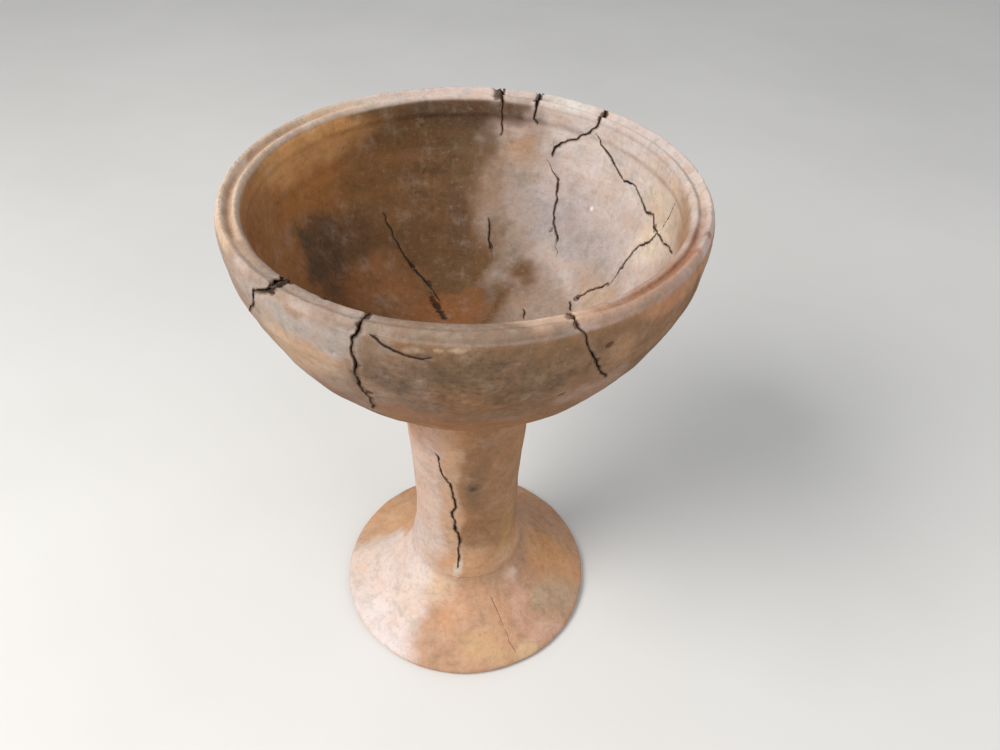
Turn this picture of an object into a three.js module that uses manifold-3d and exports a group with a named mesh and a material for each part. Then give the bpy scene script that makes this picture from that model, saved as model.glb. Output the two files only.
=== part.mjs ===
// A pedestal bowl of fired clay: a thick-walled open bowl with a grooved rim on a hollow stem
// and a spreading foot. It was broken and put together again, so each sherd is its own solid
// and the breaks between them are narrow gaps, wider where the edges have crumbled.
// Millimetres, +Z up, origin on the floor under the middle of the foot, front towards -Y.
// Angles are in degrees about Z: 0 is the front, 90 the right-hand side.
import * as THREE from "three";
import { mergeVertices } from "three/addons/utils/BufferGeometryUtils.js";
import Module from "manifold-3d";

// Driving dimensions
const HEIGHT = 337.7; // floor to the top of the rim
const RIM_RADIUS = 127.3; // widest, a little below the rim
const INNER_RIM_RADIUS = 112; // at the ledge inside the rim
const BOWL_FLOOR = 226.5; // height of the inside floor on the axis
const JOINT_TOP = 214; // underside of the bowl, where the stem is luted on
const JOINT_BOTTOM = 46; // top of the foot, where the stem stands
const STEM_TOP_RADIUS = 41.5;
const STEM_WAIST_RADIUS = 36.2;
const STEM_BORE_RADIUS = 29;
const FOOT_RADIUS = 92;
const RESTING_RING = [80, 90]; // inner and outer radius of the flat ring that touches the floor
const CLOSED = 0.36; // width of a break whose edges still meet
const HAIRLINE = 0.7; // width of a break that shows as a thin dark line
const JOINT_GAP = 0.3; // between stem and bowl, and between stem and foot
const SECTORS = 60; // facets round the axis
const REACH = 12; // how far a break's cutter reaches each way through the wall
const OVERRUN = 0.6; // how far a break runs past the one it meets
const LONGEST_STEP = 6; // degrees between two stations of a break
const SHARPEST_MITRE = 0.6; // limits how far a break widens where it turns sharply
const OUTLINE_STEPS = 9; // straight steps along each side of the bowl's wall
const STEM_STEPS = 7; // straight steps up the stem
const MIDDLE_STEPS = 60; // straight steps along the middle of a wall
const PROBE = 1; // edge of the cube that finds a sherd
const MERGE_DISTANCE = 1e-4; // corners closer than this are one

// Outlines, as [radius, height]
const BOWL_OUTSIDE = [
  [STEM_TOP_RADIUS + 2, JOINT_TOP + 2.5],
  [56, 223],
  [80, 236.5],
  [97, 254],
  [109.6, 272],
  [118.3, 290],
  [125.2, 308],
  [RIM_RADIUS, 324],
];
// over the rim: a round outer roll, a groove, a lower inner ridge and a slope down to the ledge
const RIM = [
  [RIM_RADIUS, 324],
  [127.1, 331],
  [125.9, 335.4],
  [124, HEIGHT],
  [122.2, 336.9],
  [120.8, 334.9],
  [119.4, 334.3],
  [118, 335.6],
  [116.6, 336.2],
  [114.9, 334.8],
  [113.2, 331],
  [INNER_RIM_RADIUS, 325.4],
];
const BOWL_INSIDE = [
  [INNER_RIM_RADIUS + 0.8, 322],
  [112.6, 313],
  [108.4, 295],
  [101, 278],
  [88, 258],
  [70, 241],
  [48, 231.5],
  [24, 227.6],
  [0, BOWL_FLOOR],
];
const WALL_MIDDLE = [
  [40, 222],
  [60, 231.5],
  [72.5, 239],
  [84, 249],
  [93, 259.5],
  [101.5, 271.5],
  [108.5, 284],
  [114.2, 298],
  [118.3, 310],
  [119.6, 322],
  [119.6, 350],
];
const STEM_OUTSIDE = [
  [39, JOINT_BOTTOM + JOINT_GAP],
  [37.2, 56],
  [STEM_WAIST_RADIUS, 78],
  [STEM_WAIST_RADIUS, 112],
  [37.4, 138],
  [39.2, 162],
  [40.2, 190],
  [STEM_TOP_RADIUS, JOINT_TOP - JOINT_GAP],
];
const STEM_BORE = [
  [STEM_BORE_RADIUS + 2, JOINT_TOP - JOINT_GAP],
  [STEM_BORE_RADIUS - 1.5, 112],
  [STEM_BORE_RADIUS, JOINT_BOTTOM + JOINT_GAP],
];
const STEM_MIDDLE = [
  [34, 30],
  [32, 78],
  [32, 112],
  [34, 162],
  [36, 230],
];
const FOOT_OUTSIDE = [
  [RESTING_RING[1], 0],
  [91.6, 1.2],
  [FOOT_RADIUS, 3.4],
  [90.6, 5.8],
  [86, 8.4],
  [75, 14],
  [58, 24.6],
  [46, 35.5],
  [40.5, JOINT_BOTTOM],
];
const FOOT_INSIDE = [
  [STEM_BORE_RADIUS + 1, JOINT_BOTTOM],
  [35, 33],
  [44, 22.5],
  [56, 13],
  [70, 4.4],
  [RESTING_RING[0], 0],
];
const FOOT_MIDDLE = [
  [100, -4],
  [84, 4.8],
  [64, 14.5],
  [45, 28.5],
  [36, 45],
  [34, 56],
];

// Places on the bowl where breaks meet, as [angle, height at the middle of the wall]
const FRONT_LEFT_FOOT = [-72, 250];
const FRONT_MIDDLE_FOOT = [-29, 239];
const FRONT_RIGHT_FOOT = [41, 240];
const RIGHT_FOOT = [112.8, 241.5];
const BACK_RIGHT_FOOT = [137, 246];
const BACK_FOOT = [168.4, 240];
const LEFT_CRACK_FOOT = [208, 238];
const RIGHT_FORK = [99.2, 296.3];
const BACK_RIGHT_FORK = [138.3, 327.5];
const BACK_TRIANGLE_TIP = [150.4, 308];

// Breaks through the bowl's wall, as [angle, height, width]; a break without a width is closed
const BOWL_BREAKS = [
  // front left, wide at the rim
  [
    [-41.5, 346, 2.2],
    [-41, 337, 1.8],
    [-44, 333, 1.5],
    [-47.5, 329, 1.2],
    [-48.6, 323, 0.9],
    [-52, 314, 0.8],
    [-57, 304, 0.5],
    [-62, 292],
    [-66, 276],
    [-69, 262],
    FRONT_LEFT_FOOT,
  ],
  // front, standing open down most of the wall
  [
    [-20, 346, 1.4],
    [-20.2, 334, 1.4],
    [-21.8, 329, 1.2],
    [-22.2, 322, 1.3],
    [-21.8, 314, 1.3],
    [-23, 308, 1.2],
    [-23.4, 293, 1.3],
    [-22.6, 288, 1.2],
    [-23.5, 277, 1],
    [-25.5, 270, 0.5],
    [-28, 260],
    [-27, 250],
    FRONT_MIDDLE_FOOT,
  ],
  // front right
  [
    [20.5, 346, 0.6],
    [21, 336, 0.6],
    [23, 329, 0.8],
    [24, 322, 0.9],
    [26.5, 315, 0.9],
    [27.5, 309.5, 0.9],
    [30, 303, 0.8],
    [32, 296, 0.7],
    [33.5, 291, 0.4],
    [36, 280],
    [39, 266],
    [38, 253],
    FRONT_RIGHT_FOOT,
  ],
  // right-hand rim sherd: down from the rim, along under it and up to the back right fork
  [
    [57.5, 346],
    [57.2, 328],
    [58, 319],
    [62, 312],
    [70, 306],
    [78, 303],
    [86.7, 300, HAIRLINE],
    [93, 296.5, HAIRLINE],
    [...RIGHT_FORK, HAIRLINE],
    [103, 297, HAIRLINE],
    [105, 301, 0.9],
    [109, 298.5, 1],
    [113, 302, HAIRLINE],
    [117, 306, HAIRLINE],
    [123, 304.7, HAIRLINE],
    [126, 308.5, HAIRLINE],
    [128.5, 313.5, HAIRLINE],
    [132.5, 318.5, HAIRLINE],
    BACK_RIGHT_FORK,
  ],
  // right-hand wall, down from the fork
  [
    [...RIGHT_FORK, HAIRLINE],
    [100.8, 288.5, HAIRLINE],
    [103.8, 282, HAIRLINE],
    [105, 276, HAIRLINE],
    [105.3, 269.5, HAIRLINE],
    [104, 260, 0.5],
    [106.7, 253, HAIRLINE],
    [110.8, 246, 1],
    RIGHT_FOOT,
  ],
  // back right, wide at the rim, then down the wall
  [
    [137.3, 346, 1.8],
    [137.2, 337, 1.6],
    [137, 332, 1.4],
    [...BACK_RIGHT_FORK, 0.9],
    [140, 324.5, HAIRLINE],
    [143.3, 319, HAIRLINE],
    [148.3, 312.5, HAIRLINE],
    [...BACK_TRIANGLE_TIP, 0.9],
    [151.3, 300],
    [148.3, 293.5, 0.5],
    [147, 286, HAIRLINE],
    [146.2, 278.7, HAIRLINE],
    [145.5, 270.5, HAIRLINE],
    [144.2, 264.5, 0.8],
    [140.8, 260, HAIRLINE],
    [140, 255.5, 0.5],
    BACK_RIGHT_FOOT,
  ],
  // other side of the small triangle at the back
  [
    [158.3, 346, 1.6],
    [158, 337, 1.6],
    [158.2, 331, 1.2],
    [158.7, 325, 0.8],
    [156.5, 319],
    [153.5, 313],
    BACK_TRIANGLE_TIP,
  ],
  // back, wide at the rim
  [
    [171, 346, 2],
    [170.4, 337, 1.8],
    [169, 331, 1],
    [169, 325, 0.8],
    [168.8, 315, HAIRLINE],
    [170.5, 305],
    [173, 293],
    [173.5, 278],
    [172, 266],
    [170.8, 257.5, HAIRLINE],
    [170, 249.3, HAIRLINE],
    BACK_FOOT,
  ],
  // a crack part of the way up the left-hand sherd
  [
    [213, 265],
    [212.5, 252.5],
    [210, 244.3, 0.5],
    LEFT_CRACK_FOOT,
  ],
];
// The break round the bottom of the bowl, all the way round
const BASE_BREAK = [
  FRONT_LEFT_FOOT,
  [-58, 245],
  [-44, 244],
  FRONT_MIDDLE_FOOT,
  [-14, 237.5],
  [0, 236.5],
  [14, 238],
  [28, 237],
  FRONT_RIGHT_FOOT,
  [55, 238],
  [70, 241],
  [84, 239],
  [95, 240.5],
  [107, 239.3],
  RIGHT_FOOT,
  [122, 244.5],
  BACK_RIGHT_FOOT,
  [147, 243],
  [158, 242],
  BACK_FOOT,
  [178, 239],
  [188, 236.5],
  [198, 236],
  LEFT_CRACK_FOOT,
  [218, 241],
  [230, 239],
  [244, 243],
  [256, 241],
  [270, 246],
];
const STEM_BREAKS = [
  // front, standing open
  [
    [-34, 226],
    [-33.5, 185],
    [-32.5, 174, 0.5],
    [-27, 163, 0.7],
    [-25.8, 156, 0.8],
    [-24, 149, 1],
    [-20, 144, 1.1],
    [-16.3, 141, 1.6],
    [-15.3, 134, 1.7],
    [-12, 118, 1.5],
    [-15.2, 111, 1.5],
    [-12, 98.5, 1.5],
    [-12.5, 92.5, 1.4],
    [-7.5, 83.5, 1],
    [-6.7, 80, 1.1],
    [-9, 72.5, 1.1],
    [-8.3, 63.5, 0.9],
    [-9, 56, 0.6],
    [-9.5, 36],
  ],
  // back
  [
    [150, 226],
    [146, 190],
    [152, 165],
    [148, 140],
    [154, 112],
    [150, 85],
    [155, 62],
    [152, 36],
  ],
];
const FOOT_BREAKS = [
  [
    [-9, 55],
    [-11, 42],
    [-18, 31],
    [-25, 22],
    [-30, 14],
    [-30, -3],
  ],
  [
    [38, 55],
    [42, 40],
    [53, 30],
    [60, 20],
    [68, 11],
    [70, -3],
  ],
  [
    [170, 55],
    [172, 33],
    [176, 20],
    [171, 9],
    [173, -3],
  ],
];

// Clays: colour, roughness
const CLAY = {
  ochre: [0xa8794f, 0.9],
  sooty: [0x7d6450, 0.9],
  buff: [0xb9a08c, 0.92],
  rosy: [0xb7937b, 0.92],
  orange: [0xad7145, 0.9],
  pale: [0xd0b6a4, 0.93],
};

// Sherds: name, [angle, height] of a place inside it, clay
const BOWL_SHERDS = [
  ["rim_front", [0, 300], "sooty"],
  ["rim_front_left", [-34, 315], "ochre"],
  ["wall_left", [-120, 290], "ochre"],
  ["wall_front_right", [60, 275], "ochre"],
  ["rim_right", [95, 318], "rosy"],
  ["wall_back_right", [125, 275], "buff"],
  ["rim_back_right", [148, 328], "buff"],
  ["wall_back", [160, 290], "buff"],
  ["bowl_base", [60, 226], "orange"],
];
const STEM_SHERDS = [
  ["stem_left", [-90, 120], "pale"],
  ["stem_right", [60, 120], "sooty"],
];
const FOOT_SHERDS = [
  ["foot_left", [-90, 16], "pale"],
  ["foot_front", [15, 16], "orange"],
  ["foot_right", [120, 16], "ochre"],
];

const wasm = await Module();
wasm.setup();

function vectors(points) {
  return points.map(([radius, height]) => new THREE.Vector2(radius, height));
}

function smooth(points, steps) {
  return new THREE.SplineCurve(vectors(points)).getSpacedPoints(steps);
}

// A closed three.js geometry as a solid that can be cut
function toSolid(geometry) {
  const bare = geometry.clone();
  bare.deleteAttribute("normal");
  bare.deleteAttribute("uv");
  const merged = mergeVertices(bare, MERGE_DISTANCE);
  const corners = merged.index.array;
  const faces = [];
  for (let i = 0; i < corners.length; i += 3) {
    const [a, b, c] = corners.slice(i, i + 3);
    if (a !== b && b !== c && c !== a) faces.push(a, b, c);
  }
  return new wasm.Manifold(
    new wasm.Mesh({
      numProp: 3,
      vertProperties: merged.attributes.position.array,
      triVerts: new Uint32Array(faces),
    }),
  );
}

// A solid back as a three.js geometry with flat faces
function toGeometry(solid) {
  const { vertProperties, triVerts } = solid.getMesh();
  const geometry = new THREE.BufferGeometry();
  geometry.setAttribute("position", new THREE.BufferAttribute(vertProperties, 3));
  geometry.setIndex(new THREE.BufferAttribute(triVerts, 1));
  geometry.computeVertexNormals();
  return geometry;
}

function turned(outline) {
  return toSolid(new THREE.LatheGeometry(outline, SECTORS).rotateX(Math.PI / 2));
}

// The place and the outward direction on the middle of a wall, at an angle and a height
function onWall(middle, angle, height) {
  const above = middle.findIndex((point) => point.y >= height);
  const high = middle[above];
  const low = middle[above - 1];
  const radius = THREE.MathUtils.mapLinear(height, low.y, high.y, low.x, high.x);
  const lean = new THREE.Vector2(high.y - low.y, low.x - high.x).normalize();
  const turn = THREE.MathUtils.degToRad(angle);
  const out = new THREE.Vector3(Math.sin(turn), -Math.cos(turn), 0);
  return {
    place: out.clone().multiplyScalar(radius).setZ(height),
    outward: out.multiplyScalar(lean.x).setZ(lean.y),
  };
}

// The stations of a break, with more put in where its steps round the axis are long
function stationsOf(corners, loop) {
  const ring = loop ? [...corners, [corners[0][0] + 360, corners[0][1], corners[0][2]]] : corners;
  const stations = [];
  ring.slice(1).forEach((end, i) => {
    const start = ring[i];
    const steps = Math.max(Math.ceil(Math.abs(end[0] - start[0]) / LONGEST_STEP), 1);
    for (let k = 0; k < steps; k++) {
      const share = k / steps;
      stations.push([
        THREE.MathUtils.lerp(start[0], end[0], share),
        THREE.MathUtils.lerp(start[1], end[1], share),
        THREE.MathUtils.lerp(start[2] ?? CLOSED, end[2] ?? CLOSED, share),
      ]);
    }
  });
  if (!loop) stations.push([...ring.at(-1).slice(0, 2), ring.at(-1)[2] ?? CLOSED]);
  return stations;
}

// A thin ribbon that stands through the wall along a break
function cutter(middle, corners, loop = false) {
  const stations = stationsOf(corners, loop);
  const count = stations.length;
  const onIt = stations.map(([angle, height]) => onWall(middle, angle, height));
  const along = (from, to) => onIt[to].place.clone().sub(onIt[from].place).normalize();
  const positions = [];
  stations.forEach(([, , width], i) => {
    const before = loop ? (i + count - 1) % count : Math.max(i - 1, 0);
    const after = loop ? (i + 1) % count : Math.min(i + 1, count - 1);
    const course = along(before, after);
    const { outward } = onIt[i];
    const place = onIt[i].place.clone();
    if (before === i) place.addScaledVector(course, -OVERRUN);
    if (after === i) place.addScaledVector(course, OVERRUN);
    const sideways = outward.clone().cross(course).normalize();
    const mitre = before === i ? 1 : Math.max(course.dot(along(before, i)), SHARPEST_MITRE);
    const half = width / 2 / mitre;
    for (const [side, depth] of [[-1, -1], [1, -1], [1, 1], [-1, 1]]) {
      const point = place.clone().addScaledVector(sideways, side * half);
      positions.push(...point.addScaledVector(outward, depth * REACH).toArray());
    }
  });
  const faces = [];
  for (let i = 0; i < (loop ? count : count - 1); i++) {
    const [a, b, c, d] = [0, 1, 2, 3].map((k) => 4 * i + k);
    const [e, f, g, h] = [0, 1, 2, 3].map((k) => 4 * ((i + 1) % count) + k);
    faces.push(a, b, f, a, f, e, c, d, h, c, h, g);
    // both sides fold along the same diagonal, so they stay the break's width apart
    faces.push(b, c, g, b, g, f, d, a, h, a, e, h);
  }
  if (!loop) {
    const last = 4 * (count - 1);
    faces.push(0, 2, 1, 0, 3, 2, last, last + 1, last + 2, last, last + 2, last + 3);
  }
  const geometry = new THREE.BufferGeometry();
  geometry.setAttribute("position", new THREE.Float32BufferAttribute(positions, 3));
  geometry.setIndex(faces);
  return toSolid(geometry);
}

// A whole vessel part cut along its breaks into named sherds
function sherds(whole, middle, cutters, names) {
  const pieces = cutters.reduce((rest, tool) => rest.subtract(tool), whole).decompose();
  return names.map(([name, [angle, height], clay]) => {
    const { place } = onWall(middle, angle, height);
    const probe = toSolid(new THREE.BoxGeometry(PROBE, PROBE, PROBE).translate(...place.toArray()));
    const piece = pieces.find((one) => one.intersect(probe).volume() > 0);
    const [color, roughness] = CLAY[clay];
    const material = new THREE.MeshStandardMaterial({ color, roughness, metalness: 0 });
    const mesh = new THREE.Mesh(toGeometry(piece), material);
    mesh.name = name;
    return mesh;
  });
}

function bowl() {
  const outline = [
    new THREE.Vector2(0, JOINT_TOP),
    new THREE.Vector2(STEM_TOP_RADIUS, JOINT_TOP),
    ...smooth(BOWL_OUTSIDE, OUTLINE_STEPS),
    ...vectors(RIM.slice(1)),
    ...smooth(BOWL_INSIDE, OUTLINE_STEPS),
  ];
  const middle = smooth(WALL_MIDDLE, MIDDLE_STEPS);
  const cutters = BOWL_BREAKS.map((corners) => cutter(middle, corners));
  cutters.push(cutter(middle, BASE_BREAK, true));
  return sherds(turned(outline), middle, cutters, BOWL_SHERDS);
}

function stem() {
  const outside = smooth(STEM_OUTSIDE, STEM_STEPS);
  const outline = [...outside, ...vectors(STEM_BORE), outside[0]];
  const middle = smooth(STEM_MIDDLE, MIDDLE_STEPS);
  const cutters = STEM_BREAKS.map((corners) => cutter(middle, corners));
  return sherds(turned(outline), middle, cutters, STEM_SHERDS);
}

function foot() {
  const outline = vectors([...FOOT_OUTSIDE, ...FOOT_INSIDE, FOOT_OUTSIDE[0]]);
  const middle = smooth(FOOT_MIDDLE, MIDDLE_STEPS);
  const cutters = FOOT_BREAKS.map((corners) => cutter(middle, corners));
  return sherds(turned(outline), middle, cutters, FOOT_SHERDS);
}

const vessel = new THREE.Group();
vessel.add(...bowl(), ...stem(), ...foot());

export default vessel;
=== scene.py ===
"""A mended pedestal bowl of fired clay.

Every sherd of the frame is replaced by a fine mesh of the same sherd: rounder than the faceted solid,
uneven as hand-built pottery is, with worn and crumbled edges along the breaks that stand open. Along
a closed break the sherds run a little way into each other, so that no line shows there. The groove in
the lip is worn away in front, and the hollow curve where the stem meets the foot is fuller than the
solid's. The clay's colours are painted on as soft patches (soot, bloom, orange flushes) and broken up
by procedural noise.
Angles are in degrees round the axis, 0 at the front (-Y) and 90 at the right (+X); lengths in metres
unless a name says mm.
"""
import itertools
import math

import bmesh
import bpy
import numpy as np
from mathutils import Matrix, Vector
from mathutils.bvhtree import BVHTree


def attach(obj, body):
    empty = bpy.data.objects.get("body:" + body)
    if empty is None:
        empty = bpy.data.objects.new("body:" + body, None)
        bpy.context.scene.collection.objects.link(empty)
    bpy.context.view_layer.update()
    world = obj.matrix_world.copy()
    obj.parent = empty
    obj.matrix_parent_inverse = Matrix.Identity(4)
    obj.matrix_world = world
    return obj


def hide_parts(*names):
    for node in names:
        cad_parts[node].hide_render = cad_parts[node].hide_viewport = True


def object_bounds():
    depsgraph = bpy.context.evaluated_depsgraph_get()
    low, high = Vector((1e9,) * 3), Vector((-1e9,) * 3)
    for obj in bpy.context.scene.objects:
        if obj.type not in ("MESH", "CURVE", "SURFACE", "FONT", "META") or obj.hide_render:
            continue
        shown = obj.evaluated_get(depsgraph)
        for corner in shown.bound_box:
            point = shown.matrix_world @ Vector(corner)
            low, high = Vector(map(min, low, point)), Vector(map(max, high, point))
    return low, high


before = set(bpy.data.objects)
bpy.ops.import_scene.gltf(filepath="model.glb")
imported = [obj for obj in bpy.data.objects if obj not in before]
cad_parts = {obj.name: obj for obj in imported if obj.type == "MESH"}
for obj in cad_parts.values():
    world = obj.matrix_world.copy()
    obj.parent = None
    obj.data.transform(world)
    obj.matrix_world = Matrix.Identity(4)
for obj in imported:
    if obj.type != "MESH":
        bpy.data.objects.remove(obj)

CAD_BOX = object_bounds()
MM = 0.001
VOXEL = 0.9 * MM  # size of the sherds' fine facets
SECTORS = 60  # facets round the axis in the frame's solids
LONGEST_EDGE = 3.0 * MM  # of the coarse sherds, before the breaks are measured
GLUE_LINE = 2.8 * MM  # a face this near another sherd is a broken face
GLUE_DEPTH = 0.25 * MM  # how far under a face the look for its neighbour starts
FACING = -0.75  # and the neighbour's face looks back at it at least this squarely
CLOSED_MM = 0.58  # a break narrower than this is filled flush
GROWN = 1.9 * MM  # how far a sherd runs into its neighbour along a closed break
NARROWED_MM = 0.2  # how far each face of an open break is moved in, to make up for its rounded edge
GLUED_MM = 2.2  # an open break is this deep: further in, its two faces meet
EDGE_REACH_MM = 12.0  # distance from an open break over which wear is followed
BREAK_FACE_MM = 1.2  # a point this near a break, and facing as it does, is on the broken face
BOWL_FROM_MM = (208, 216)  # height over which the stem gives way to the bowl
FOOT_UNTIL_MM = (50, 42)  # and, downwards, the stem to the foot
LIP_FROM_MM = (331.5, 334)  # and the bowl's wall to the lip
LIP_TOP_MM = (331, 333.5)  # height over which the lip's own wear comes in
GROOVE_MM = 119.5  # radius of the groove in the lip
RUBBED_FROM = (-68, -60)  # angles over which the groove begins to be worn away in front
RUBBED_UNTIL = (36, 29)  # and, backwards, where that ends
JOINT_MM = 46  # height where the stem stands on the foot
STEM_MM = 36  # radius of the stem above the joint
FLARE_MM = 5.1  # how much wider the vessel is at the joint
FLARE_RISE_MM = 13  # height in which that falls to about a third
FOOT_OUTLINE = ((24.6, 35.5, 46, 50), (58, 46, 40.5, 40.5))  # the solids' heights and radii there, mm
STEM_OUTLINE = ((40, 46.3, 56, 78), (39, 39, 37.2, 36.2))
BORE_MM = 31  # radius of the hollow inside the joint, which stays as it is
FLARED_FROM_MM = (30, 36)  # heights over which the fuller curve comes in
FLARED_UNTIL_MM = (78, 66)  # and, downwards from above, comes in too
SLIGHT = 7  # patches whose half-sizes are less than this have less wavy outlines

# ---------------------------------------------------------------- colours, sRGB 0-255
GREY_PINK = (150, 134, 124)
SAND = (158, 128, 106)
OLIVE = (112, 90, 67)
WARM_BROWN = (134, 102, 75)
ORANGE = (150, 103, 60)
FLUSH = (174, 130, 100)
PALE = (204, 188, 181)
BUFF = (184, 171, 166)
CREAM = (202, 186, 168)
MAUVE = (154, 145, 144)
UMBER = (100, 73, 47)
BRIGHT_TAWNY = (204, 154, 100)
STEM_BROWN = (142, 106, 76)
STEM_PINK = (192, 168, 156)
FOOT_TAN = (172, 136, 110)
SOOT = (72, 61, 51)
BLOOM = (206, 198, 192)
# dark dirt, also used as painted shade deep in the breaks, the chips and the thin cracks
DIRT_AND_SHADE = (46, 34, 26)
CORE = (96, 70, 50)
PLASTER = (196, 194, 186)
RUST = (150, 84, 62)
# and the tones that the clay is multiplied by in places
SHADE = (170, 150, 130)
DEEPER_SHADE = (150, 132, 118)
WARMTH = (255, 234, 208)
REDNESS = (255, 222, 186)
GREYNESS = (214, 220, 210)

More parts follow.
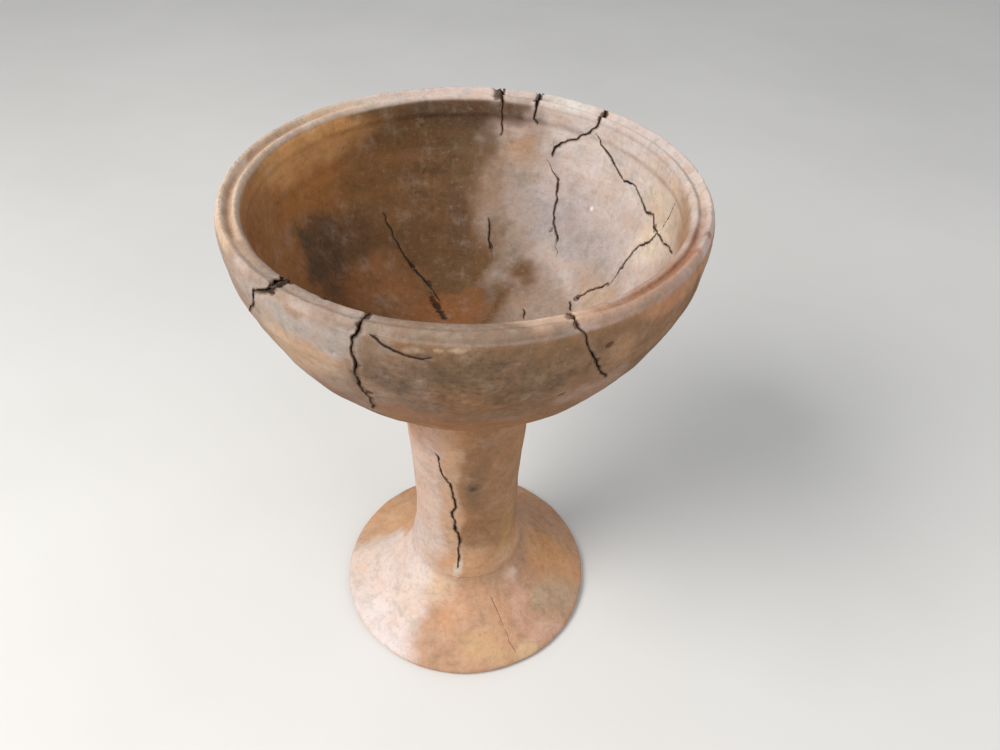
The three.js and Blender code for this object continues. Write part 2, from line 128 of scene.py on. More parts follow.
# Painted patches, laid one over the other: side, (angle, height), half-sizes (degrees, mm), colour,
# strength and softness. A side is "out", "in" or "lip" on the bowl, "stem" or "foot". On the lip the
# radius stands in for the height. The clay's ground colour lies under them.
GROUND = {"out": WARM_BROWN, "in": UMBER, "lip": BUFF, "stem": STEM_BROWN, "foot": FOOT_TAN}
PATCHES = [
    # the bowl's left side: greyish pink above, sandy below
    ("out", (-85, 290), (60, 70), GREY_PINK, 1.0, 0.20),
    ("out", (-60, 255), (45, 22), SAND, 0.9, 0.60),
    ("out", (-62, 306), (8, 18), (142, 120, 106), 0.7, 0.60),
    ("out", (-38, 305), (9, 24), (182, 152, 126), 0.8, 0.60),
    # a paler, bluish band just under the rim at the front-left: painted highlight
    ("out", (-34, 326), (14, 8), (158, 150, 147), 0.9, 0.50),
    ("out", (-32, 268), (8, 16), (136, 103, 84), 0.8, 0.60),
    ("out", (-29, 250), (6, 14), (118, 88, 73), 0.8, 0.60),
    ("out", (-54, 296), (9, 16), (130, 101, 76), 0.6, 0.60),
    # its front and the lip there: brown, greenish under the rim, orange towards the bottom
    ("out", (2, 308), (17, 26), OLIVE, 0.75, 0.60),
    ("out", (10, 316), (6, 9), (140, 112, 88), 0.6, 0.60),
    ("out", (-12, 300), (6, 24), (132, 109, 93), 0.7, 0.60),
    ("out", (-12, 270), (8, 10), (148, 107, 81), 0.8, 0.60),
    ("out", (0, 248), (30, 16), ORANGE, 0.95, 0.60),
    ("out", (-19, 318), (2.4, 16), (112, 95, 80), 0.5, 0.60),
    ("lip", (0, 120), (26, 16), (126, 107, 92), 1.0, 0.30),
    ("lip", (-40, 120), (22, 10), (138, 120, 108), 0.9, 0.50),
    # its right side
    ("out", (31, 285), (7, 12), (152, 123, 107), 0.8, 0.60),
    ("out", (31, 312), (5, 9), (168, 132, 102), 0.7, 0.60),
    ("out", (61, 308), (8, 26), (120, 88, 63), 0.9, 0.60),
    ("out", (71, 315), (5, 10), (124, 92, 66), 0.8, 0.60),
    ("out", (33, 252), (8, 12), (126, 90, 73), 0.7, 0.60),
    ("out", (46, 284), (9, 16), (112, 87, 66), 0.8, 0.60),
    ("out", (52, 331), (18, 6), FLUSH, 0.9, 0.50),
    ("out", (70, 292), (9, 16), (160, 124, 98), 0.8, 0.60),
    ("out", (74, 324), (8, 9), (156, 138, 124), 0.8, 0.60),
    ("out", (120, 290), (40, 60), SAND, 0.7, 0.60),
    ("out", (186, 290), (40, 60), GREY_PINK, 0.5, 0.60),
    # its underside, reddened round the stem
    ("out", (0, 222), (400, 12), (152, 104, 68), 0.55, 0.50),
    # the rest of the lip and the slope inside it
    ("lip", (-64, 120), (12, 10), (140, 120, 108), 0.7, 0.50),
    ("lip", (42, 120), (26, 10), (158, 126, 107), 0.9, 0.50),
    ("lip", (82, 120), (10, 10), (196, 180, 170), 0.7, 0.50),
    ("lip", (-108, 120), (46, 10), (192, 170, 148), 0.8, 0.40),
    ("lip", (20, 118.5), (9, 5), (196, 174, 156), 0.8, 0.60),
    ("lip", (50, 119.6), (28, 1.6), (150, 100, 68), 0.7, 0.60),
    ("lip", (-96, 119.6), (34, 1.5), (152, 116, 88), 0.6, 0.60),
    ("lip", (161, 116.5), (9, 3), (150, 134, 122), 0.7, 0.60),
    ("in", (80, 330), (7, 7), (212, 196, 178), 0.8, 0.60),
    ("in", (281, 330), (14, 7), (186, 150, 116), 0.7, 0.60),
    # inside, from the pale right-hand wall round to the dark back and the orange left
    ("in", (118, 296), (44, 62), BUFF, 1.0, 0.18),
    ("in", (122, 315), (34, 12), (204, 194, 190), 0.7, 0.60),
    ("in", (98, 312), (16, 20), CREAM, 0.8, 0.50),
    ("in", (74, 328), (28, 9), (184, 162, 146), 0.9, 0.50),
    ("in", (128, 262), (26, 16), MAUVE, 0.8, 0.60),
    ("in", (146, 276), (9, 16), (142, 135, 134), 0.8, 0.60),
    ("in", (161, 285), (10, 46), (156, 142, 134), 0.9, 0.40),
    ("in", (168, 313), (9, 13), (182, 164, 155), 0.9, 0.50),
    ("in", (162, 305), (7, 8), (166, 136, 108), 0.7, 0.50),
    ("in", (138, 284), (12, 14), (180, 170, 172), 0.6, 0.60),
    ("in", (100, 287), (7, 9), (212, 198, 182), 0.6, 0.60),
    ("in", (257, 312), (16, 9), (214, 172, 118), 0.6, 0.60),
    ("in", (171, 284), (6, 26), (138, 114, 96), 0.8, 0.60),
    ("in", (164, 250), (8, 8), (118, 98, 82), 0.6, 0.60),
    ("in", (146, 248), (7, 6), (168, 156, 150), 0.6, 0.60),
    ("in", (104, 252), (16, 10), (168, 146, 128), 0.8, 0.60),
    ("in", (120, 232), (24, 8), (148, 130, 117), 0.9, 0.50),
    ("in", (205, 228.5), (42, 4), (144, 94, 58), 0.7, 0.60),
    ("in", (181, 300), (8, 30), (104, 82, 60), 0.8, 0.60),
    ("in", (183, 262), (8, 16), (86, 66, 50), 0.7, 0.60),
    ("in", (180, 329), (18, 8), (84, 64, 48), 0.9, 0.50),
    ("in", (213, 290), (14, 26), (122, 88, 55), 0.9, 0.60),
    ("in", (246, 305), (26, 26), (164, 114, 66), 1.0, 0.60),
    ("in", (250, 325), (34, 12), BRIGHT_TAWNY, 1.0, 0.60),
    ("in", (250, 270), (20, 16), (112, 84, 60), 0.9, 0.50),
    ("in", (236, 243), (22, 12), (143, 99, 64), 0.9, 0.60),
    ("in", (265, 285), (10, 26), (152, 107, 66), 0.8, 0.60),
    ("in", (267, 312), (9, 14), (176, 130, 86), 0.8, 0.60),
    ("in", (300, 300), (40, 60), (150, 106, 66), 1.0, 0.50),
    ("in", (0, 320), (30, 60), (140, 98, 64), 1.0, 0.60),
    ("in", (60, 310), (26, 60), (160, 128, 100), 1.0, 0.60),
    # soot and bloom
    ("in", (248, 268), (12, 15), "soot", 0.62, 0.60),
    ("in", (194, 305), (5, 40), "soot", 0.25, 0.60),
    ("stem", (4, 198), (16, 5), "soot", 0.45, 0.80),
    ("in", (190, 300), (18, 3), "bloom", 0.20, 0.90),
    ("out", (-62, 308), (30, 26), "bloom", 0.18, 0.80),
    ("out", (2, 306), (24, 22), "soot", 0.42, 0.60),
    ("out", (19, 307), (5, 9), "soot", 0.65, 0.70),
    # lighter brown places between the soot in front
    ("out", (0, 293), (9, 11), (158, 112, 72), 0.45, 0.70),
    ("out", (-6, 262), (12, 8), (150, 104, 70), 0.45, 0.70),
    # chips of the surface: pale ones, whitish filler and two that show red clay
    ("out", (-2, 330.6), (1.5, 1.5), (198, 184, 162), 0.6, 0.70),
    ("out", (-5.4, 329.6), (0.9, 1.0), (190, 172, 148), 0.6, 0.70),
    ("out", (-10.5, 327.5), (1.6, 1.6), (182, 164, 142), 0.5, 0.70),
    ("in", (132, 283), (0.7, 1.2), (226, 222, 216), 0.9, 0.40),
    ("in", (97.5, 290), (0.8, 1.4), (214, 200, 176), 0.8, 0.40),
    ("in", (101.5, 293.5), (0.7, 1.2), (214, 200, 176), 0.8, 0.40),
    ("in", (105, 287), (0.8, 1.2), (214, 200, 176), 0.8, 0.40),
    ("in", (96, 282), (1.6, 2.2), (216, 212, 208), 0.45, 0.80),
    ("lip", (148, 120), (7, 10), PLASTER, 0.45, 0.70),
    ("lip", (67.5, 124.6), (1.1, 2.0), RUST, 0.7, 0.60),
    ("lip", (60, 121.5), (1.3, 3.4), RUST, 0.6, 0.70),
    # stem: pale pink on the left, brown in front, lighter towards the foot
    ("stem", (-80, 120), (62, 140), STEM_PINK, 1.0, 0.25),
    ("stem", (-55, 190), (26, 22), (150, 108, 80), 0.8, 0.60),
    ("stem", (-60, 62), (46, 24), (192, 174, 166), 0.8, 0.60),
    ("stem", (-15, 125), (10, 90), (184, 150, 122), 0.9, 0.60),
    ("stem", (14, 136), (9, 22), (120, 96, 74), 0.7, 0.60),
    ("stem", (52, 120), (26, 140), (158, 121, 90), 0.8, 0.60),
    ("stem", (36, 54), (60, 18), (190, 150, 116), 0.8, 0.60),
    ("stem", (52, 78), (12, 26), (172, 138, 92), 0.5, 0.70),
    ("stem", (-4, 190), (12, 14), (164, 116, 76), 0.5, 0.70),
    ("stem", (10, 197), (24, 5), "bloom", 0.35, 0.80),
    ("stem", (10, 137), (6, 7), "soot", 0.45, 0.70),
    ("stem", (9.5, 137), (3.6, 2.6), (76, 58, 46), 0.7, 0.70),
    ("stem", (-9, 53), (4, 6), PLASTER, 0.7, 0.60),
    # foot: pale on the left, orange in front and at the right, with greyish patches between
    ("foot", (-66, 22), (38, 60), PALE, 1.0, 0.22),
    ("foot", (-100, 17), (5, 8), (180, 174, 166), 0.6, 0.60),
    ("foot", (-76, 40), (22, 8), (196, 176, 168), 0.6, 0.60),
    # a whitish place low on the foot's left, facing the light: painted highlight
    ("foot", (-50, 8), (16, 8), (214, 204, 204), 0.6, 0.60),
    ("foot", (-125, 26), (20, 26), (196, 158, 122), 0.9, 0.50),
    ("foot", (-22, 40), (16, 8), (200, 176, 154), 0.8, 0.70),
    ("foot", (-6, 34), (14, 8), (190, 152, 126), 0.7, 0.70),
    ("foot", (2, 16), (26, 18), (182, 146, 120), 0.9, 0.60),
    # a darker band round the top of the foot, in the crease under the stem: painted shade
    ("foot", (24, 43), (18, 6), (152, 124, 98), 0.5, 0.80),
    ("foot", (46, 38), (6, 4), (204, 182, 170), 0.6, 0.70),
    ("foot", (40, 22), (9, 16), (190, 154, 136), 0.7, 0.60),
    ("foot", (64, 14), (12, 9), (166, 146, 124), 0.8, 0.60),
    ("foot", (-10, 23), (11, 6), (194, 146, 110), 0.6, 0.70),
    ("foot", (8, 11), (12, 6), (192, 164, 126), 0.6, 0.70),
    ("foot", (28, 7), (5, 4), (206, 186, 152), 0.6, 0.70),
    ("foot", (88, 26), (20, 16), (192, 146, 104), 0.9, 0.50),
    ("foot", (180, 22), (60, 60), (178, 138, 106), 0.8, 0.60),
]

# Thin cracks that don't go right through and the fine ends of breaks: side, and (angle, height, width
# in mm) at each corner
LINES = [
    ("out", [(-18.6, 333.5, 1.8), (-16.6, 331, 2.2), (-14.2, 328.3, 2.1), (-11.7, 325.6, 1.9),
             (-8.6, 323.8, 1.5), (-6.3, 325.2, 0.7)]),
    ("out", [(57.4, 333, 0.5), (57.5, 324, 0.7), (58.6, 317, 0.3)]),
    ("in", [(213.4, 270, 0.9), (212.8, 262, 1.6), (212.4, 252.5, 2.0), (210.6, 246, 2.2), (208.4, 240, 2.4),
            (205, 235, 1.8), (203, 231, 0.6)]),
    ("in", [(132, 231.6, 0.4), (128.3, 230.8, 1.2), (124.5, 230.2, 0.3)]),
    ("in", [(104.6, 268.5, 0.7), (104.6, 263, 1.0), (104.5, 257.6, 0.8)]),
    ("in", [(152.5, 301, 0.3), (150, 296, 0.7), (147.2, 291, 1.0)]),
    ("in", [(136.8, 325.8, 0.9), (134.4, 321.2, 1.2)]),
    ("in", [(169.2, 250, 1.1), (168.6, 247.5, 0.7), (167.5, 245, 0.3)]),
    ("in", [(140.7, 261.5, 1.1), (139, 257, 0.7), (137.2, 253.5, 0.3)]),
    ("foot", [(20.6, 30, 0.2), (22, 25, 0.35), (23.5, 19, 0.2)]),
    ("foot", [(23, 15, 0.15), (24, 8.6, 0.3)]),
    ("in", [(95.5, 320, 0.7), (96.5, 311, 0.9), (98, 302, 0.7)]),
    ("in", [(113, 241.5, 1.4), (109.5, 239.6, 1.2), (107, 239.4, 0.4)]),
]

# Small places where crumbs have come away: side, (angle, height), radius and depth in mm
CHIPS = [
    ("lip", (-42, 336), 3.4, 1.5),
    ("lip", (171, 336.5), 3.6, 1.4),
    ("lip", (158.4, 336), 2.6, 1.2),
    ("lip", (137.4, 335), 2.8, 1.3),
    ("lip", (21, 336), 2.0, 0.8),
    ("lip", (-20.4, 335), 2.2, 0.9),
    ("in", (207.5, 230.4), 2.6, 1.9),
    ("in", (204.5, 236), 2.0, 1.1),
    ("in", (209, 243), 1.8, 1.0),
    ("in", (101.5, 298), 2.2, 0.8),
    ("in", (112.4, 244.4), 2.2, 2.0),
    ("in", (144.4, 264), 1.6, 0.8),
    ("out", (29, 320.5), 2.6, 1.0),
    ("out", (21.5, 289.4), 2.1, 1.2),
    ("out", (-22.5, 246), 2.4, 1.6),
    ("out", (-22, 290), 2.2, 0.8),
    ("out", (-22.6, 303), 1.8, 0.7),
    ("out", (26.8, 313), 2.0, 0.7),
    ("stem", (-16, 139), 2.0, 0.8),
    ("stem", (-12.2, 96), 1.8, 0.7),
]


# ---------------------------------------------------------------- numbers for whole arrays of points
def smoothstep(low, high, x):
    """0 up to low, 1 from high, and a soft slope between; low may be the larger."""
    t = np.clip((x - low) / (high - low), 0, 1)
    return t * t * (3 - 2 * t)


def lattice(points, seed):
    """Value noise in -1..1 on a unit lattice."""
    cell = np.floor(points).astype(np.int64)
    part = points - cell
    part = part * part * part * (part * (part * 6 - 15) + 10)
    total = np.zeros(len(points))
    for corner in itertools.product((0, 1), repeat=3):
        at = cell + np.array(corner)
        mixed = (at[:, 0] * 73856093) ^ (at[:, 1] * 19349663) ^ (at[:, 2] * 83492791) ^ (seed * 2654435)
        mixed = ((mixed ^ (mixed >> 13)) * 1274126177) & 0xFFFFFFFF
        mixed = ((mixed ^ (mixed >> 15)) * 2246822519) & 0xFFFFFFFF
        value = ((mixed ^ (mixed >> 16)) & 0xFFFF) / 32767.5 - 1
        share = np.where(np.array(corner), part, 1 - part).prod(axis=1)
        total += value * share
    return total


def noise(points, size, seed=0, octaves=2):
    """Smooth noise, about -1..1, whose largest features are size across."""
    turn = np.array(Matrix.Rotation(0.7, 3, Vector((1, 2, 3)).normalized()))
    total, weight, at = np.zeros(len(points)), 1.0, points @ turn / size
    for k in range(octaves):
        total += weight * lattice(at + 31.7 * k, seed + k)
        weight *= 0.5
        at = at @ turn * 2.03
    return total * 1.2


def polar(points):
    """Angle in degrees, radius in mm and height in mm of each point."""
    angle = np.degrees(np.arctan2(points[:, 0], -points[:, 1]))
    return angle, np.hypot(points[:, 0], points[:, 1]) / MM, points[:, 2] / MM


def turn_between(angle, centre):
    """Degrees from centre to each angle, the short way round."""
    return (angle - centre + 180) % 360 - 180


# ---------------------------------------------------------------- fine meshes from the frame's solids
def merged(node):
    """A bmesh of a frame node with its shared corners joined."""
    mesh = bmesh.new()
    mesh.from_mesh(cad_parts[node].data)
    bmesh.ops.remove_doubles(mesh, verts=mesh.verts, dist=0.002 * MM)
    return mesh


def divided(node):
    """The node's solid in triangles with no long edges."""
    mesh = merged(node)
    for _ in range(5):
        long_edges = [edge for edge in mesh.edges if edge.calc_length() > LONGEST_EDGE]
        if not long_edges:
            break
        bmesh.ops.subdivide_edges(mesh, edges=long_edges, cuts=1)
        bmesh.ops.triangulate(mesh, faces=mesh.faces)
    mesh.verts.index_update()
    mesh.normal_update()
    return mesh


def trees_of_others():
    """For each frame node, the faces of all the other nodes in one tree."""
    meshes = {node: merged(node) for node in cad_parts}
    trees = {}
    for node in meshes:
        corners, faces = [], []
        for other, mesh in meshes.items():
            if other == node:
                continue
            first = len(corners)
            corners += [v.co.copy() for v in mesh.verts]
            faces += [[first + v.index for v in f.verts] for f in mesh.faces]
        trees[node] = BVHTree.FromPolygons(corners, faces)
    for mesh in meshes.values():
        mesh.free()
    return trees


def broken_faces(mesh, tree):
    """The faces that look across a break at another sherd, and the break's width there in mm."""
    widths = {}
    for face in mesh.faces:
        start = face.calc_center_median() - face.normal * GLUE_DEPTH
        _, facing, _, far = tree.ray_cast(start, face.normal, GLUE_LINE)
        if far is not None and facing.dot(face.normal) < FACING:
            widths[face] = (far - GLUE_DEPTH) / MM
    return widths


def run_on(mesh, widths):
    """Moves the faces of closed breaks on into the neighbouring sherd."""
    moves = []
    for vertex in mesh.verts:
        faces = [face for face in vertex.link_faces if face in widths]
        if not faces or max(widths[face] for face in faces) > CLOSED_MM:
            continue
        lean = sum((face.normal for face in faces), Vector()).normalized()
        skin = sum((face.normal for face in vertex.link_faces if face not in widths), Vector())
        if skin.length > 0:
            along = lean - skin.normalized() * lean.dot(skin.normalized())
            lean = along.normalized() if along.length > 0.4 else lean
        sharpest = max(min(lean.dot(face.normal) for face in faces), 0.5)
        moves.append((vertex, lean * (GROWN / sharpest)))
    for vertex, move in moves:
        vertex.co += move


def fine_mesh(node):
    """The node's solid in small even facets, and its breaks: a tree of the open ones, their normals and
    widths, and a tree of the faces that aren't broken."""
    coarse = divided(node)
    widths = broken_faces(coarse, TREES[node])
    opened = [face for face in widths if widths[face] > CLOSED_MM]
    corners = [v.co.copy() for v in coarse.verts]
    skin = [face for face in coarse.faces if face not in widths]
    tree = BVHTree.FromPolygons(corners, [[v.index for v in face.verts] for face in opened])
    skin_tree = BVHTree.FromPolygons(corners, [[v.index for v in face.verts] for face in skin])
    breaks = tree, [(face.normal.copy(), widths[face]) for face in opened], skin_tree
    run_on(coarse, widths)
    data = bpy.data.meshes.new(node + "_coarse")
    coarse.to_mesh(data)
    coarse.free()
    piece = bpy.data.objects.new(node + "_sherd", data)
    bpy.context.scene.collection.objects.link(piece)
    remesh = piece.modifiers.new("facets", "REMESH")
    remesh.mode = "VOXEL"
    remesh.voxel_size = VOXEL
    soften = piece.modifiers.new("soften", "SMOOTH")
    soften.factor = 0.5
    soften.iterations = 2
    evaluated = piece.evaluated_get(bpy.context.evaluated_depsgraph_get())
    fine = bpy.data.meshes.new_from_object(evaluated)
    piece.modifiers.clear()
    piece.data = fine
    bpy.data.meshes.remove(data)
    return piece, breaks


def arrays(mesh):
    """The mesh's points and normals as arrays of three columns."""
    count = len(mesh.vertices)
    points, normals = np.zeros(count * 3, np.float32), np.zeros(count * 3, np.float32)
    mesh.vertices.foreach_get("co", points)
    mesh.vertices.foreach_get("normal", normals)
    return points.reshape(-1, 3).astype(float), normals.reshape(-1, 3).astype(float)


def nearest_break(points, normals, breaks):
    """For each point: distance in mm to the nearest open break, the break's width, how much the point is
    on the broken face itself, how deep under the skin it is there in mm, and which way the break faces."""
    tree, faces, skin_tree = breaks
    edge = np.full(len(points), EDGE_REACH_MM)
    width, on_it, depth = (np.zeros(len(points)) for _ in range(3))
    across = np.zeros((len(points), 3))
    if faces:
        for i, point in enumerate(points):
            _, _, face, far = tree.find_nearest(Vector(point), EDGE_REACH_MM * MM)
            if face is not None:
                normal, width[i] = faces[face]
                edge[i] = far / MM
                across[i] = normal
                on_it[i] = normal.dot(Vector(normals[i])) if edge[i] < BREAK_FACE_MM else 0
                if on_it[i] > 0.3:
                    depth[i] = skin_tree.find_nearest(Vector(point))[3] / MM
    return {"edge": edge, "width": width, "broken": smoothstep(0.3, 0.9, on_it), "depth": depth}, across


TREES = trees_of_others()


# ---------------------------------------------------------------- where things are on the vessel
def sides(points, normals):
    """How much each point belongs to the bowl's outside, inside and lip, the stem and the foot."""
    angle, _, height = polar(points)
    turn = np.radians(angle)
    outward = normals[:, 0] * np.sin(turn) - normals[:, 1] * np.cos(turn)
    facing_in = smoothstep(0.15, -0.25, outward * 0.85 - normals[:, 2] * 0.5)
    bowl = smoothstep(*BOWL_FROM_MM, height)
    foot = smoothstep(*FOOT_UNTIL_MM, height)
    lip = smoothstep(*LIP_FROM_MM, height)
    wall = bowl * (1 - lip)
    return {"out": wall * (1 - facing_in), "in": wall * facing_in, "lip": lip,
            "stem": (1 - bowl) * (1 - foot), "foot": foot}


def patch(angle, height, centre, size, soft=0.5):
    """1 inside an ellipse of half-sizes (degrees, mm) at (angle, height), fading to 0 outside."""
    away = np.hypot(turn_between(angle, centre[0]) / size[0], (height - centre[1]) / size[1])
    return 1 - smoothstep(1 - soft, 1 + soft, away)


def line_field(angle, radius, height, corners):
    """Distance to a thin crack in half-widths, signed by side, and how much the crack is there."""
    around = np.radians(turn_between(angle, corners[0][0])) * radius
    on_skin = np.stack([around, height, radius], 1)
    around = around + 0.8 * noise(on_skin, 6.0, 71)
    height = height + 0.8 * noise(on_skin, 6.0, 72)
    places = [(math.radians(a - corners[0][0]), z, w / 2) for a, z, w in corners]
    nearest = np.full(len(angle), np.inf)
    signed, there = np.full(len(angle), 4.0), np.zeros(len(angle))
    for (a0, z0, w0), (a1, z1, w1) in zip(places, places[1:]):
        x, y = around - a0 * radius, height - z0
        dx, dy = (a1 - a0) * radius, z1 - z0
        length = np.hypot(dx, dy)
        share = (x * dx + y * dy) / length**2
        held = np.clip(share, 0, 1)
        away = np.hypot(x - held * dx, y - held * dy)
        side = (x * dy - y * dx) / length
        closer = away < nearest
        nearest = np.where(closer, away, nearest)
        beyond = np.abs(share - held) * length
        half = w0 + (w1 - w0) * held
        one_sided = np.where(beyond > 0, side, np.copysign(away, side))
        signed = np.where(closer, np.clip(one_sided / half, -4, 4), signed)
        there = np.where(closer, 1 - smoothstep(0.2, 1.6, beyond), there)
    return signed, there * (1 - smoothstep(3, 5, nearest))


def thin_cracks(angle, radius, height, on):
    """The nearest thin crack's line_field at each point."""
    signed, there = np.full(len(angle), 4.0), np.zeros(len(angle))
    for side, corners in LINES:
        one, strength = line_field(angle, radius, height, corners)
        strength = strength * (on[side] > 0.5)
        stronger = (strength > 0) & (np.abs(one) <= np.abs(signed))
        signed = np.where(stronger, one, signed)
        there = np.where(stronger, strength, there)
    return signed, there


def chips(angle, radius, height, on):
    """Depth in mm of the crumbled places."""
    depth = np.zeros(len(angle))
    for side, (a, z), size, deep in CHIPS:
        away = np.hypot(np.radians(turn_between(angle, a)) * radius, height - z)
        ragged = away + 0.9 * noise(np.stack([angle * radius / 57.3, height, radius], 1), 3.0, 51)
        inside = 1 - smoothstep(0.45 * size, 1.15 * size, ragged)
        depth = np.maximum(depth, deep * (on[side] > 0.3) * inside)
    return depth


# ---------------------------------------------------------------- uneven, worn clay
def flared(radius, height, outline):
    """How much wider in mm the joint of stem and foot is than the solids, so that it runs in one curve."""
    straight = np.interp(height, *outline)
    curve = STEM_MM + FLARE_MM * np.exp((JOINT_MM - height) / FLARE_RISE_MM)
    share = np.clip((radius - BORE_MM) / (straight - BORE_MM), 0, 1)
    fade = smoothstep(*FLARED_FROM_MM, height) * smoothstep(*FLARED_UNTIL_MM, height)
    return (curve - straight) * share * fade


def roughen(points, normals, at, outline):
    """Points moved as hand-built, worn and chipped clay has them; all moves are small or inward."""
    angle, radius, height = polar(points)
    facet = 2 * math.pi / SECTORS
    off = np.radians(angle) % facet - facet / 2
    rounder = np.cos(off) / math.cos(facet / 2)
    rounder = rounder + flared(radius, height, outline) / np.maximum(radius, 1)
    moved = points * np.stack([rounder, rounder, np.ones_like(rounder)], 1)
    swell = 0.40 * noise(points, 55 * MM, 11) + 0.20 * noise(points, 17 * MM, 12)
    grain = 0.08 * noise(points, 6 * MM, 13) + 0.05 * noise(points, 2.4 * MM, 14)
    holes = smoothstep(0.66, 1.0, noise(points, 5 * MM, 15, 1))
    pits = 0.5 * holes * smoothstep(0.1, 0.7, noise(points, 40 * MM, 16))
    upper = smoothstep(*LIP_TOP_MM, height)
    rubbed = smoothstep(*RUBBED_FROM, angle) * smoothstep(*RUBBED_UNTIL, angle) * upper
    groove = 0.7 * np.exp(-((radius - GROOVE_MM) / 1.2) ** 2) * upper * (1 - rubbed)
    moved[:, 2] += 1.9 * MM * rubbed * np.exp(-((radius - GROOVE_MM - 0.1) / 1.8) ** 2)
    opened = smoothstep(0.5, 1.1, at["width"])
    crumble = smoothstep(0.1, 1.1, noise(points, 7 * MM, 17)) * (1 - smoothstep(0.2, 3.0, at["edge"]))
    worn = opened * (0.20 * (1 - smoothstep(0, 1.6, at["edge"])) + 1.0 * crumble)
    carved = 0.7 * at["there"] * (1 - smoothstep(0.5, 2.2, np.abs(at["line"])))
    skin = 0.35 - swell - grain + pits + groove + worn + carved + at["chip"]
    ragged = 0.25 * opened * noise(points, 4 * MM, 18) - np.maximum(NARROWED_MM, 0.30 * at["width"])
    meet = ragged + smoothstep(0.6 * GLUED_MM, GLUED_MM, at["depth"]) * (-0.5 * at["width"] - 0.15 - ragged)
    inward = skin + at["broken"] * (meet - skin)
    return moved - normals * (inward * MM)[:, None]


def jagged(points, edge, across):
    """Moves that make a break's course ragged, the same on both its sides."""
    angle, _, _ = polar(points)
    turn = np.radians(angle)
    way = np.stack([np.cos(turn), np.sin(turn), np.full(len(turn), 0.4)], 1)
    lean = (across * way).sum(axis=1)
    wander = 0.75 * noise(points, 7 * MM, 61, 1) + 0.45 * noise(points, 3 * MM, 62, 1)
    amount = wander * (1 - smoothstep(0.5, 5, edge)) * np.sign(lean) * smoothstep(0.0, 0.35, np.abs(lean))
    return across * (amount * MM)[:, None]


# ---------------------------------------------------------------- materials
def linear(colour):
    """sRGB 0-255 to linear RGBA."""
    return tuple(((c / 255 + 0.055) / 1.055) ** 2.4 if c > 10 else c / 255 / 12.92 for c in colour) + (1.0,)


class Graph:
    """Short forms for building one material's nodes."""

    def __init__(self, name):
        self.material = bpy.data.materials.new(name)
        self.material.use_nodes = True
        self.tree = self.material.node_tree
        self.shader = self.tree.nodes["Principled BSDF"]
        self.place = self.add("ShaderNodeTexCoord").outputs["Object"]

    def add(self, kind, **settings):
        node = self.tree.nodes.new(kind)
        for key, value in settings.items():
            setattr(node, key, value)
        return node

    def feed(self, socket, value):
        if isinstance(value, bpy.types.NodeSocket):
            self.tree.links.new(value, socket)
        else:
            socket.default_value = value

    def attribute(self, name):
        return self.add("ShaderNodeAttribute", attribute_name=name).outputs["Fac"]

    def grain(self, size_mm, detail=3.0, rough=0.55, stretch=(1, 1, 1), shift=0.0):
        moved = self.add("ShaderNodeMapping")
        self.feed(moved.inputs["Vector"], self.place)
        moved.inputs["Scale"].default_value = stretch
        moved.inputs["Location"].default_value = (shift, 2 * shift, 3 * shift)
        node = self.add("ShaderNodeTexNoise")
        self.feed(node.inputs["Vector"], moved.outputs["Vector"])
        node.inputs["Scale"].default_value = 1000 / size_mm
        node.inputs["Detail"].default_value = detail
        node.inputs["Roughness"].default_value = rough
        return node.outputs["Fac"]

    def ramp(self, value, low, high, to_low=0.0, to_high=1.0):
        node = self.add("ShaderNodeMapRange", interpolation_type="SMOOTHSTEP")
        self.feed(node.inputs["Value"], value)
        for key, number in zip(("From Min", "From Max", "To Min", "To Max"), (low, high, to_low, to_high)):
            node.inputs[key].default_value = number
        return node.outputs["Result"]

    def math(self, operation, a, b=0.0, clamp=False):
        node = self.add("ShaderNodeMath", operation=operation, use_clamp=clamp)
        self.feed(node.inputs[0], a)
        self.feed(node.inputs[1], b)
        return node.outputs["Value"]

    def mix(self, share, a, b, blend="MIX"):
        node = self.add("ShaderNodeMix", data_type="RGBA", blend_type=blend)
        self.feed(node.inputs["Factor"], share)
        self.feed(node.inputs["A"], a)
        self.feed(node.inputs["B"], b)
        return node.outputs["Result"]


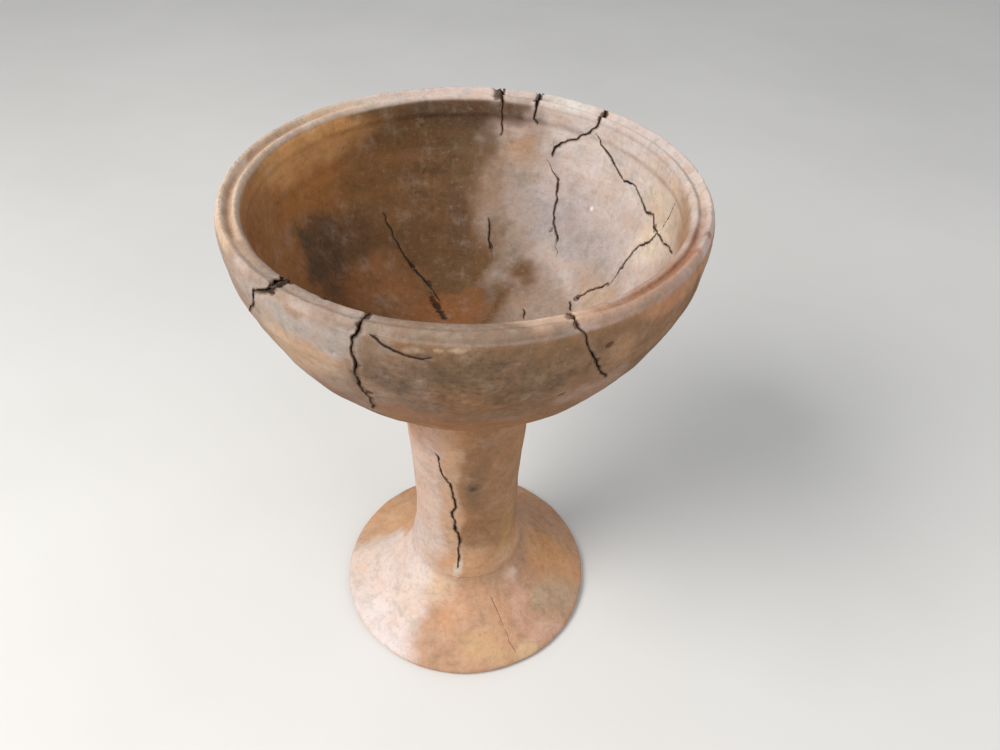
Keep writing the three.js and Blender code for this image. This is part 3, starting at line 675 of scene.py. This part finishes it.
def fired_clay():
    """Matte clay: the painted colour, mottled, streaked and speckled, with dirt and painted shade in the
    open breaks.
    """
    g = Graph("fired_clay")
    broad = g.grain(30, 4, 0.62)
    mottle = g.grain(13, 5, 0.60, shift=3.1)
    tint = g.grain(9, 4, 0.6, shift=11.9)
    speck = g.grain(3.4, 4, 0.66, shift=8.3)
    fine = g.grain(1.4, 4, 0.7, shift=5.7)
    wiped = g.grain(6, 3, 0.6, stretch=(0.3, 0.3, 2.2), shift=1.3)
    body = g.add("ShaderNodeAttribute", attribute_name="clay").outputs["Color"]
    darker = g.mix(0.50, body, linear(SHADE), "MULTIPLY")
    warmer = g.mix(0.55, body, linear(WARMTH), "MULTIPLY")
    lighter = g.mix(0.30, body, linear(BLOOM))
    body = g.mix(g.ramp(broad, 0.36, 0.66, 0.0, 0.70), body, warmer)
    body = g.mix(g.ramp(mottle, 0.44, 0.74, 0.0, 0.45), body, darker)
    body = g.mix(g.ramp(mottle, 0.48, 0.26, 0.0, 0.40), body, lighter)
    redder = g.mix(0.5, body, linear(REDNESS), "MULTIPLY")
    greyer = g.mix(0.8, body, linear(GREYNESS), "MULTIPLY")
    body = g.mix(g.ramp(tint, 0.50, 0.68, 0.0, 0.60), body, redder)
    body = g.mix(g.ramp(tint, 0.48, 0.32, 0.0, 0.60), body, greyer)
    specks = g.math("MULTIPLY", g.ramp(speck, 0.50, 0.68), g.ramp(g.attribute("soot"), 0.0, 0.4, 0.5, 1.0))
    body = g.mix(specks, body, darker)
    body = g.mix(g.ramp(speck, 0.44, 0.28, 0.0, 0.28), body, lighter)
    body = g.mix(g.ramp(wiped, 0.50, 0.74, 0.0, 0.20), body, darker)
    body = g.mix(g.ramp(fine, 0.58, 0.74, 0.0, 0.30), body, lighter)
    body = g.mix(g.ramp(fine, 0.46, 0.30, 0.0, 0.35), body, g.mix(0.5, body, linear(DIRT_AND_SHADE), "MULTIPLY"))
    for attribute, colour, strength in (("soot", SOOT, 0.8), ("bloom", BLOOM, 0.6)):
        amount = g.attribute(attribute)
        uneven = g.math("ADD", g.math("MULTIPLY", mottle, 1.4), g.math("MULTIPLY", speck, 0.8))
        spread = g.math("ADD", amount, g.math("SUBTRACT", uneven, 1.1))
        share = g.math("MULTIPLY", g.ramp(spread, 0.1, 1.2), g.ramp(amount, 0.0, 0.3, 0.0, strength))
        body = g.mix(share, body, linear(colour))
    opened = g.ramp(g.attribute("width"), 0.45, 1.0)
    rubbed = g.math("MULTIPLY", g.ramp(g.attribute("edge"), 2.8, 0.5, 0.0, 0.4), g.ramp(mottle, 0.42, 0.60))
    body = g.mix(g.math("MULTIPLY", rubbed, opened), body, lighter)
    # broken faces: the clay's core colour with dirt, going darker with depth under the skin as painted
    # shade
    crumbs = g.mix(g.ramp(mottle, 0.4, 0.65), linear(CORE), linear(DIRT_AND_SHADE))
    broken = g.mix(g.ramp(g.attribute("depth"), 0.3, 1.6), crumbs, linear(DIRT_AND_SHADE))
    body = g.mix(g.attribute("broken"), body, broken)
    # chipped hollows darken with their depth: painted shade
    dim = g.mix(1.0, body, linear(DEEPER_SHADE), "MULTIPLY")
    chipped = g.math("ADD", g.attribute("chip"), g.math("MULTIPLY", fine, 0.5))
    body = g.mix(g.ramp(chipped, 0.5, 1.1, 0.0, 0.8), body, dim)
    body = g.mix(g.ramp(chipped, 1.1, 2.0, 0.0, 0.8), body, linear(DIRT_AND_SHADE))
    # a dark line along each thin crack: painted shade in the crack, with dirt
    ragged = g.math("ADD", g.math("ABSOLUTE", g.attribute("line")), g.math("MULTIPLY", fine, 0.9))
    body = g.mix(g.math("MULTIPLY", g.ramp(ragged, 1.5, 0.9), g.attribute("there")), body, linear(DIRT_AND_SHADE))
    g.feed(g.shader.inputs["Base Color"], body)
    g.feed(g.shader.inputs["Roughness"], g.ramp(mottle, 0.3, 0.7, 0.82, 0.96))
    g.shader.inputs["Specular IOR Level"].default_value = 0.25
    relief = g.math("ADD", g.math("MULTIPLY", fine, 0.30), g.math("MULTIPLY", mottle, 0.80))
    relief = g.math("ADD", relief, g.math("MULTIPLY", wiped, 0.45))
    bump = g.add("ShaderNodeBump")
    bump.inputs["Strength"].default_value = 0.6
    bump.inputs["Distance"].default_value = 0.9 * MM
    g.feed(bump.inputs["Height"], relief)
    g.feed(g.shader.inputs["Normal"], bump.outputs["Normal"])
    return g.material


CLAY = fired_clay()


# ---------------------------------------------------------------- making the pieces
def write(mesh, name, values):
    """Gives the mesh one number per point for the material to read."""
    mesh.attributes.new(name, "FLOAT", "POINT").data.foreach_set("value", values.astype(np.float32))


def paint(mesh, points, at, on):
    """Writes the patches' colours, the masks of soot and bloom and the measures in at."""
    angle, radius, height = polar(points)
    drift, lift = 5 * noise(points, 20 * MM, 41, 3), 5 * noise(points, 20 * MM, 42, 3)
    colour = sum(on[side][:, None] * np.array(linear(GROUND[side])) for side in on)
    masks = {"soot": np.zeros(len(points)), "bloom": np.zeros(len(points))}
    for side, centre, size, tone, strength, soft in PATCHES:
        free = min(1, size[0] / SLIGHT, size[1] / SLIGHT)
        up = radius if side == "lip" else height
        share = on[side] * strength * patch(angle + free * drift, up + free * lift, centre, size, soft)
        if tone in masks:
            masks[tone] = np.maximum(masks[tone], share)
        else:
            colour += share[:, None] * (np.array(linear(tone)) - colour)
    clay = mesh.attributes.new("clay", "FLOAT_COLOR", "POINT")
    clay.data.foreach_set("color", colour.astype(np.float32).ravel())
    for name, values in {**masks, **at}.items():
        write(mesh, name, values)


def sherd(node):
    """The visual piece of one frame node."""
    piece, breaks = fine_mesh(node)
    points, normals = arrays(piece.data)
    at, across = nearest_break(points, normals, breaks)
    on = sides(points, normals)
    angle, radius, height = polar(points)
    at["line"], at["there"] = thin_cracks(angle, radius, height, on)
    at["chip"] = chips(angle, radius, height, on)
    paint(piece.data, points, at, on)
    low, high = (np.array(corner) for corner in CAD_BOX)
    outline = FOOT_OUTLINE if node.startswith("foot") else STEM_OUTLINE
    moved = np.clip(roughen(points, normals, at, outline) + jagged(points, at["edge"], across), low, high)
    piece.data.vertices.foreach_set("co", moved.astype(np.float32).ravel())
    piece.data.polygons.foreach_set("use_smooth", [True] * len(piece.data.polygons))
    piece.data.update()
    piece.data.materials.clear()
    piece.data.materials.append(CLAY)
    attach(piece, "root")
    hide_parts(node)


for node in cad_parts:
    sherd(node)


# ---------------------------------------------------------------- floor, light and camera
DOWN, TILT, YAW = 41.72, 2.34, 3.16  # degrees: the camera looks down, leans and turns by this much
CAMERA_AT = (0, -0.37373, 0.53772)
LENS = 28.8  # mm, on a sensor of 36 mm
AIM = (0, 0, 0.2)  # the middle of the vessel, roughly
DAYLIGHT = (0.95, 0.97, 1.0)


def stage():
    """A plain grey floor just under the foot."""
    bpy.ops.mesh.primitive_plane_add(size=12, location=(0, 0, -0.0006))
    floor = bpy.context.object
    floor.name = "floor"
    g = Graph("floor_paint")
    cloudy = g.mix(g.ramp(g.grain(300), 0.3, 0.7), (0.60, 0.59, 0.57, 1), (0.63, 0.62, 0.60, 1))
    g.feed(g.shader.inputs["Base Color"], cloudy)
    g.shader.inputs["Roughness"].default_value = 0.9
    floor.data.materials.append(g.material)


def soft_light(name, place, size, power, colour):
    """A round area light of the given size in m and power in W, aimed at the middle of the vessel."""
    data = bpy.data.lights.new(name, "AREA")
    data.shape = "DISK"
    data.size = size
    data.energy = power
    data.color = colour
    light = bpy.data.objects.new(name, data)
    light.location = place
    aim = Vector(AIM) - Vector(place)
    light.rotation_euler = aim.to_track_quat("-Z", "Y").to_euler()
    bpy.context.scene.collection.objects.link(light)


def photo_camera():
    """Looks 42 degrees down on the vessel from just left of its front."""
    down, tilt, yaw = (math.radians(x) for x in (DOWN, TILT, YAW))
    forward = Vector((math.sin(yaw) * math.cos(down), math.cos(yaw) * math.cos(down), -math.sin(down)))
    level = Vector((math.cos(yaw), -math.sin(yaw), 0))
    rise = level.cross(forward)
    right = math.cos(tilt) * level + math.sin(tilt) * rise
    up = -math.sin(tilt) * level + math.cos(tilt) * rise
    data = bpy.data.cameras.new("camera")
    data.sensor_width = 36
    data.lens = LENS
    data.clip_start = 0.01
    camera = bpy.data.objects.new("camera", data)
    turn = Matrix((right, up, -forward)).transposed().to_4x4()
    camera.matrix_world = Matrix.Translation(CAMERA_AT) @ turn
    bpy.context.scene.collection.objects.link(camera)
    bpy.context.scene.camera = camera


stage()
photo_camera()
soft_light("key", (-0.95, -0.55, 1.35), 0.9, 29.5, (1.0, 0.98, 0.95))
soft_light("fill", (1.1, -0.9, 0.9), 1.4, 8, DAYLIGHT)
world = bpy.data.worlds.new("studio")
world.use_nodes = True
world.node_tree.nodes["Background"].inputs["Color"].default_value = (*DAYLIGHT, 1)
world.node_tree.nodes["Background"].inputs["Strength"].default_value = 0.55
bpy.context.scene.world = world
bpy.context.scene.view_settings.view_transform = "Standard"
